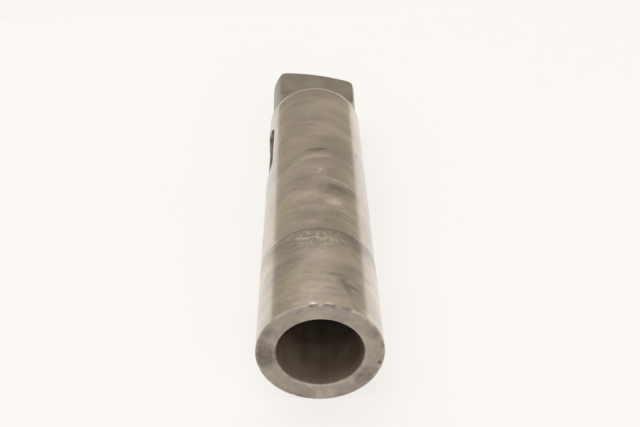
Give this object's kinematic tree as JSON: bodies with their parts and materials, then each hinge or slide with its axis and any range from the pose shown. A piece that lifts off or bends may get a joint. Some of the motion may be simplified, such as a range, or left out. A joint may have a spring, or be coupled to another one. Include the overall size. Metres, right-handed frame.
{
  "type": "morse taper reducing sleeve",
  "caption": "Hollow steel taper sleeve with a tapered socket in its large end, a drift slot through both walls and a flat driving tang at its small end.",
  "frame": {"origin": "centre of the ring-shaped mouth face at the large end, which the sleeve stands on", "axes": "+Z along the axis from the mouth to the tang; the drift slot goes through along X; the tang's flats face -Y and +Y"},
  "size_m": [0.0455, 0.0456, 0.171],
  "materials": {
    "worn_steel": "hardened tool steel, ground and long used: dull grey brown with darker oil stains, scuffs, small nicks and brighter worn bands"
  },
  "bodies": {
    "root": {"taper_sleeve": "worn_steel"}
  },
  "joints": []
}
